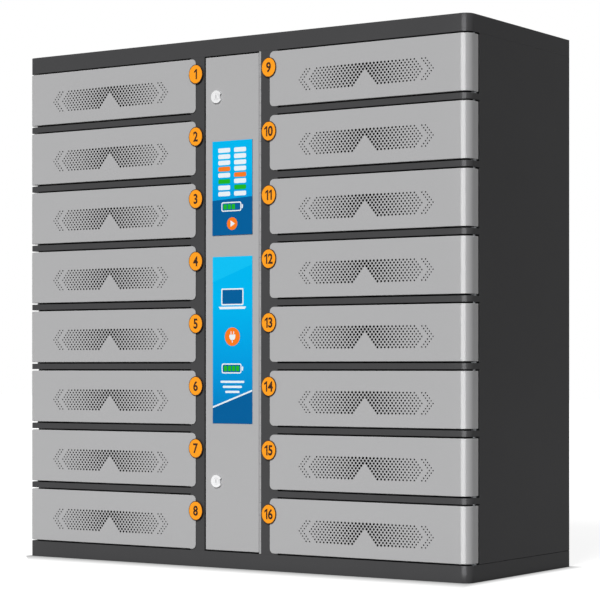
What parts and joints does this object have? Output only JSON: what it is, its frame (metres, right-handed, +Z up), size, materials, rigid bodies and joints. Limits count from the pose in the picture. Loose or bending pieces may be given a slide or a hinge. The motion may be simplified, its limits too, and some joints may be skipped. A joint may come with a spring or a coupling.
{
  "type": "laptop charging locker",
  "caption": "Free-standing steel charging locker with two columns of perforated bay doors, a locked service door with a display between them, and number discs.",
  "frame": {"origin": "on the underside of the base plinth, under the middle of the cabinet's outline", "axes": "+X to the right seen from the front, the doors face -Y, +Z up"},
  "size_m": [1.064, 0.4145, 1.05],
  "materials": {
    "door_steel": "fine-textured light grey powder coat",
    "frame_steel": "fine-textured charcoal powder coat",
    "zinc_steel": "zinc-plated",
    "lock_chrome": "polished",
    "display_face": "glossy display face",
    "sign_face": "satin printed plate",
    "badge_face": "satin printed disc",
    "black_plastic": "moulded",
    "supply_case": "folded sheet",
    "circuit_board": "solder mask"
  },
  "bodies": {
    "root": {"base_plinth": "frame_steel", "top_cap": "frame_steel", "side_panel_left": "frame_steel", "side_panel_right": "frame_steel", "rear_panel": "frame_steel", "stile_left": "frame_steel", "stile_right": "frame_steel", "divider_left": "frame_steel", "divider_right": "frame_steel", "bay_shelves_left": "frame_steel", "bay_shelves_right": "frame_steel", "pivot_studs": "zinc_steel", "lock_cases": "zinc_steel", "charging_modules": "black_plastic", "service_hinge_fixed_leaf": "door_steel", "service_hinge_pin": "zinc_steel", "power_supplies": "supply_case", "control_board": "circuit_board", "mains_inlet": "black_plastic"},
    "door_01": {"door_01": "door_steel"},
    "lock_bolt_01": {"lock_bolt_01": "zinc_steel"},
    "door_02": {"door_02": "door_steel"},
    "lock_bolt_02": {"lock_bolt_02": "zinc_steel"},
    "door_03": {"door_03": "door_steel"},
    "lock_bolt_03": {"lock_bolt_03": "zinc_steel"},
    "door_04": {"door_04": "door_steel"},
    "lock_bolt_04": {"lock_bolt_04": "zinc_steel"},
    "door_05": {"door_05": "door_steel"},
    "lock_bolt_05": {"lock_bolt_05": "zinc_steel"},
    "door_06": {"door_06": "door_steel"},
    "lock_bolt_06": {"lock_bolt_06": "zinc_steel"},
    "door_07": {"door_07": "door_steel"},
    "lock_bolt_07": {"lock_bolt_07": "zinc_steel"},
    "door_08": {"door_08": "door_steel"},
    "lock_bolt_08": {"lock_bolt_08": "zinc_steel"},
    "door_09": {"door_09": "door_steel"},
    "lock_bolt_09": {"lock_bolt_09": "zinc_steel"},
    "door_10": {"door_10": "door_steel"},
    "lock_bolt_10": {"lock_bolt_10": "zinc_steel"},
    "door_11": {"door_11": "door_steel"},
    "lock_bolt_11": {"lock_bolt_11": "zinc_steel"},
    "door_12": {"door_12": "door_steel"},
    "lock_bolt_12": {"lock_bolt_12": "zinc_steel"},
    "door_13": {"door_13": "door_steel"},
    "lock_bolt_13": {"lock_bolt_13": "zinc_steel"},
    "door_14": {"door_14": "door_steel"},
    "lock_bolt_14": {"lock_bolt_14": "zinc_steel"},
    "door_15": {"door_15": "door_steel"},
    "lock_bolt_15": {"lock_bolt_15": "zinc_steel"},
    "door_16": {"door_16": "door_steel"},
    "lock_bolt_16": {"lock_bolt_16": "zinc_steel"},
    "service_door": {"service_door": "door_steel", "touch_display": "display_face", "info_sign": "sign_face", "service_hinge_door_leaf": "door_steel", "cam_lock_housings": "lock_chrome", "cam_lock_nuts": "zinc_steel"},
    "cam_lock_upper": {"cam_lock_upper": "lock_chrome"},
    "cam_lock_lower": {"cam_lock_lower": "lock_chrome"}
  },
  "joints": [
    {"name": "service_door_swing", "type": "hinge", "parent": "root", "child": "service_door", "pos_m": [0.0644, -0.202, 0], "axis": [0, 0, 1], "range_deg": [0, 100]},
    {"name": "cam_lock_upper_turn", "type": "hinge", "parent": "service_door", "child": "cam_lock_upper", "pos_m": [-0.039, -0.204, 0.9343], "axis": [0, 1, 0], "range_deg": [0, 90]},
    {"name": "cam_lock_lower_turn", "type": "hinge", "parent": "service_door", "child": "cam_lock_lower", "pos_m": [-0.039, -0.204, 0.1721], "axis": [0, 1, 0], "range_deg": [0, 90]},
    {"name": "door_01_swing", "type": "hinge", "parent": "root", "child": "door_01", "pos_m": [-0.5257, -0.174, 0], "axis": [0, 0, -1], "range_deg": [0, 110]},
    {"name": "lock_bolt_01_slide", "type": "slide", "parent": "root", "child": "lock_bolt_01", "axis": [-1, 0, 0], "range_m": [0, 0.008]},
    {"name": "door_02_swing", "type": "hinge", "parent": "root", "child": "door_02", "pos_m": [-0.5257, -0.174, 0], "axis": [0, 0, -1], "range_deg": [0, 110]},
    {"name": "lock_bolt_02_slide", "type": "slide", "parent": "root", "child": "lock_bolt_02", "axis": [-1, 0, 0], "range_m": [0, 0.008]},
    {"name": "door_03_swing", "type": "hinge", "parent": "root", "child": "door_03", "pos_m": [-0.5257, -0.174, 0], "axis": [0, 0, -1], "range_deg": [0, 110]},
    {"name": "lock_bolt_03_slide", "type": "slide", "parent": "root", "child": "lock_bolt_03", "axis": [-1, 0, 0], "range_m": [0, 0.008]},
    {"name": "door_04_swing", "type": "hinge", "parent": "root", "child": "door_04", "pos_m": [-0.5257, -0.174, 0], "axis": [0, 0, -1], "range_deg": [0, 110]},
    {"name": "lock_bolt_04_slide", "type": "slide", "parent": "root", "child": "lock_bolt_04", "axis": [-1, 0, 0], "range_m": [0, 0.008]},
    {"name": "door_05_swing", "type": "hinge", "parent": "root", "child": "door_05", "pos_m": [-0.5257, -0.174, 0], "axis": [0, 0, -1], "range_deg": [0, 110]},
    {"name": "lock_bolt_05_slide", "type": "slide", "parent": "root", "child": "lock_bolt_05", "axis": [-1, 0, 0], "range_m": [0, 0.008]},
    {"name": "door_06_swing", "type": "hinge", "parent": "root", "child": "door_06", "pos_m": [-0.5257, -0.174, 0], "axis": [0, 0, -1], "range_deg": [0, 110]},
    {"name": "lock_bolt_06_slide", "type": "slide", "parent": "root", "child": "lock_bolt_06", "axis": [-1, 0, 0], "range_m": [0, 0.008]},
    {"name": "door_07_swing", "type": "hinge", "parent": "root", "child": "door_07", "pos_m": [-0.5257, -0.174, 0], "axis": [0, 0, -1], "range_deg": [0, 110]},
    {"name": "lock_bolt_07_slide", "type": "slide", "parent": "root", "child": "lock_bolt_07", "axis": [-1, 0, 0], "range_m": [0, 0.008]},
    {"name": "door_08_swing", "type": "hinge", "parent": "root", "child": "door_08", "pos_m": [-0.5257, -0.174, 0], "axis": [0, 0, -1], "range_deg": [0, 110]},
    {"name": "lock_bolt_08_slide", "type": "slide", "parent": "root", "child": "lock_bolt_08", "axis": [-1, 0, 0], "range_m": [0, 0.008]},
    {"name": "door_09_swing", "type": "hinge", "parent": "root", "child": "door_09", "pos_m": [0.5257, -0.174, 0], "axis": [0, 0, 1], "range_deg": [0, 110]},
    {"name": "lock_bolt_09_slide", "type": "slide", "parent": "root", "child": "lock_bolt_09", "axis": [1, 0, 0], "range_m": [0, 0.008]},
    {"name": "door_10_swing", "type": "hinge", "parent": "root", "child": "door_10", "pos_m": [0.5257, -0.174, 0], "axis": [0, 0, 1], "range_deg": [0, 110]},
    {"name": "lock_bolt_10_slide", "type": "slide", "parent": "root", "child": "lock_bolt_10", "axis": [1, 0, 0], "range_m": [0, 0.008]},
    {"name": "door_11_swing", "type": "hinge", "parent": "root", "child": "door_11", "pos_m": [0.5257, -0.174, 0], "axis": [0, 0, 1], "range_deg": [0, 110]},
    {"name": "lock_bolt_11_slide", "type": "slide", "parent": "root", "child": "lock_bolt_11", "axis": [1, 0, 0], "range_m": [0, 0.008]},
    {"name": "door_12_swing", "type": "hinge", "parent": "root", "child": "door_12", "pos_m": [0.5257, -0.174, 0], "axis": [0, 0, 1], "range_deg": [0, 110]},
    {"name": "lock_bolt_12_slide", "type": "slide", "parent": "root", "child": "lock_bolt_12", "axis": [1, 0, 0], "range_m": [0, 0.008]},
    {"name": "door_13_swing", "type": "hinge", "parent": "root", "child": "door_13", "pos_m": [0.5257, -0.174, 0], "axis": [0, 0, 1], "range_deg": [0, 110]},
    {"name": "lock_bolt_13_slide", "type": "slide", "parent": "root", "child": "lock_bolt_13", "axis": [1, 0, 0], "range_m": [0, 0.008]},
    {"name": "door_14_swing", "type": "hinge", "parent": "root", "child": "door_14", "pos_m": [0.5257, -0.174, 0], "axis": [0, 0, 1], "range_deg": [0, 110]},
    {"name": "lock_bolt_14_slide", "type": "slide", "parent": "root", "child": "lock_bolt_14", "axis": [1, 0, 0], "range_m": [0, 0.008]},
    {"name": "door_15_swing", "type": "hinge", "parent": "root", "child": "door_15", "pos_m": [0.5257, -0.174, 0], "axis": [0, 0, 1], "range_deg": [0, 110]},
    {"name": "lock_bolt_15_slide", "type": "slide", "parent": "root", "child": "lock_bolt_15", "axis": [1, 0, 0], "range_m": [0, 0.008]},
    {"name": "door_16_swing", "type": "hinge", "parent": "root", "child": "door_16", "pos_m": [0.5257, -0.174, 0], "axis": [0, 0, 1], "range_deg": [0, 110]},
    {"name": "lock_bolt_16_slide", "type": "slide", "parent": "root", "child": "lock_bolt_16", "axis": [1, 0, 0], "range_m": [0, 0.008]}
  ]
}
